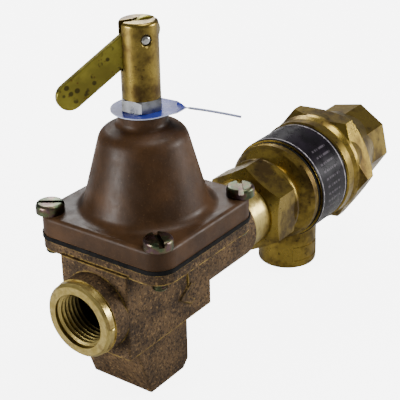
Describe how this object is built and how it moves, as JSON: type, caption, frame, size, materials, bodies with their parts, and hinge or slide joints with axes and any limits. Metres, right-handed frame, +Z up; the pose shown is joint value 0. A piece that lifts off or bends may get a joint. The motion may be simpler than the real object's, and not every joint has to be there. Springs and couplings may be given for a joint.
{
  "type": "pressure reducing valve",
  "caption": "Bronze water pressure reducing valve with bonnet, adjusting screw, fast-fill lever and a vented dual-check backflow preventer on its inlet.",
  "frame": {"origin": "centre of the outlet port's mouth", "axes": "X along the pipe line towards the inlet, Y across, Z up along the bonnet"},
  "size_m": [0.1935, 0.0584, 0.1348],
  "materials": {
    "casting": "cast bronze",
    "bonnet_paint": "satin dark brown",
    "brass": "machined and cast brass",
    "turned_brass": "turned brass",
    "lever_brass": "stamped brass strip",
    "zinc": "bright zinc plate",
    "yellow_zinc": "yellow zinc plate",
    "steel": "stainless steel",
    "black_rubber": "black rubber",
    "gasket": "fibre gasket",
    "tag_sheet": "glossy blue sheet",
    "band_sheet": "dark satin label",
    "acetal": "moulded acetal"
  },
  "bodies": {
    "housing": {"bonnet": "bonnet_paint", "check_spider": "acetal", "cleanout_plug": "turned_brass", "diaphragm": "black_rubber", "disc_spring": "steel", "flange_screws": "yellow_zinc", "inlet_body": "brass", "inlet_check_seat": "acetal", "inlet_check_spring": "steel", "label_band": "band_sheet", "outlet_check_seat": "acetal", "outlet_check_spring": "steel", "range_spring": "steel", "seal_ring": "black_rubber", "seat_bushing": "turned_brass", "seat_gasket": "gasket", "strainer_screen": "steel", "valve_body": "casting", "vent_body": "brass", "vent_seal": "black_rubber"},
    "spring_button_body": {"spring_button": "turned_brass"},
    "adjusting_screw_body": {"adjusting_screw": "turned_brass", "lever_pin": "steel"},
    "lever_body": {"fill_lever": "lever_brass"},
    "push_rod_body": {"push_rod": "steel"},
    "stem_body": {"valve_stem": "steel", "stem_nut": "zinc", "diaphragm_plate": "zinc", "diaphragm_washer": "zinc", "disc_holder": "turned_brass", "valve_disc": "black_rubber", "holder_nut": "zinc"},
    "lock_nut_body": {"lock_nut": "zinc"},
    "tag_body": {"instruction_tag": "tag_sheet"},
    "outlet_check_body": {"outlet_check_poppet": "acetal"},
    "inlet_check_body": {"inlet_check_poppet": "acetal"}
  },
  "joints": [
    {"name": "screw_travel", "type": "slide", "parent": "housing", "child": "spring_button_body", "axis": [0, 0, 1], "range_m": [0, 0.00254], "deforming": ["range_spring"]},
    {"name": "screw_turn", "type": "hinge", "parent": "spring_button_body", "child": "adjusting_screw_body", "pos_m": [0.04, 0, 0.07], "axis": [0, 0, 1], "range_deg": [0, 720]},
    {"name": "lever_swing", "type": "hinge", "parent": "adjusting_screw_body", "child": "lever_body", "pos_m": [0.04, 0, 0.0912], "axis": [0.4848, 0.8746, 0], "range_deg": [0, 123]},
    {"name": "push_rod_slide", "type": "slide", "parent": "adjusting_screw_body", "child": "push_rod_body", "axis": [0, 0, 1], "range_m": [-0.0015, 0], "stiffness_N_per_m": 150, "springref_m": 0.002},
    {"name": "stem_slide", "type": "slide", "parent": "housing", "child": "stem_body", "axis": [0, 0, 1], "range_m": [-0.0015, 0], "stiffness_N_per_m": 100, "springref_m": 0.0021, "deforming": ["disc_spring", "diaphragm"]},
    {"name": "lock_nut_turn", "type": "hinge", "parent": "housing", "child": "lock_nut_body", "pos_m": [0.04, 0, 0.068], "axis": [0, 0, 1], "range_deg": [0, 15]},
    {"name": "tag_swivel", "type": "hinge", "parent": "housing", "child": "tag_body", "pos_m": [0.04, 0, 0.0654], "axis": [0, 0, 1], "range_deg": [-60, 60]},
    {"name": "outlet_check_slide", "type": "slide", "parent": "housing", "child": "outlet_check_body", "axis": [-1, 0, 0], "range_m": [0, 0.003], "stiffness_N_per_m": 120, "springref_m": -0.002, "deforming": ["outlet_check_spring"]},
    {"name": "inlet_check_slide", "type": "slide", "parent": "housing", "child": "inlet_check_body", "axis": [-1, 0, 0], "range_m": [0, 0.003], "stiffness_N_per_m": 120, "springref_m": -0.002, "deforming": ["inlet_check_spring"]}
  ],
  "couplings": [
    {"joint": "screw_turn", "follows": "screw_travel", "rad_per_m": 4947.4},
    {"joint": "lever_swing", "follows": "push_rod_slide", "rad_per_m": -1431.2},
    {"joint": "stem_slide", "follows": "push_rod_slide", "ratio": 1}
  ]
}
